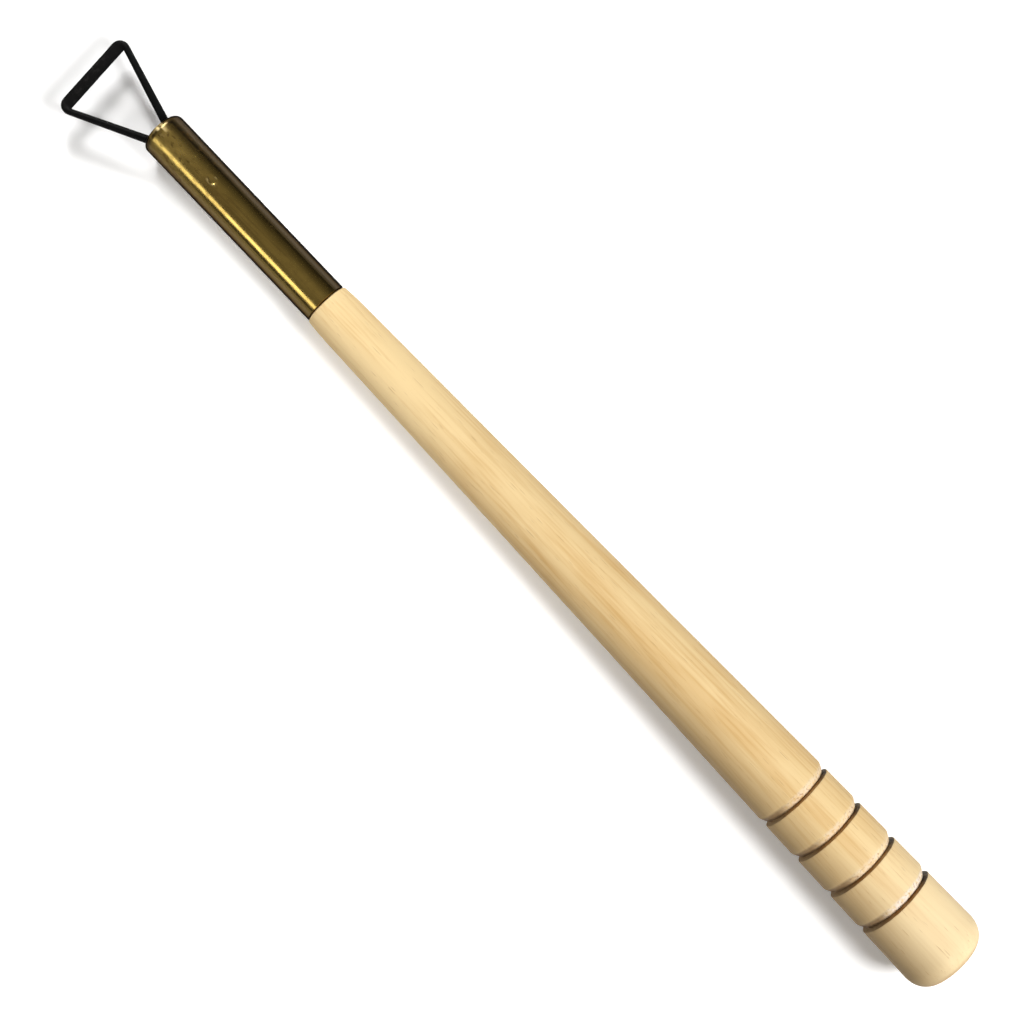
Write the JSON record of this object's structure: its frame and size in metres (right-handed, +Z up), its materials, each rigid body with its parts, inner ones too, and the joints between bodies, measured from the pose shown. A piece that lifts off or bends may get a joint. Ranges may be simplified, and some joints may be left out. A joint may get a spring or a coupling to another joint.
{
  "type": "pottery wire trimming tool",
  "caption": "Pottery trimming tool: a tapered turned wooden handle with finger grooves, a brass ferrule and a skewed triangular loop of hammered wire.",
  "frame": {"origin": "on the surface that the tool lies on, under the middle of the flat land between the rounded butt and the groove nearest to it", "axes": "+X along the tool from the butt to the loop, level with the surface; +Y in the loop's plane towards the corner that is further from the handle's axis; +Z up from the surface"},
  "size_m": [0.2537, 0.0209, 0.0182],
  "materials": {
    "wood": "bare turned wood, pale and fine grained, with burnt groove walls",
    "brass": "drawn tube, polished and a little tarnished",
    "black_steel": "hammered wire, black and satin",
    "cement": "dull dark filler"
  },
  "bodies": {
    "root": {"handle": "wood", "ferrule": "brass", "wire_loop": "black_steel", "cement_plug": "cement"}
  },
  "joints": []
}
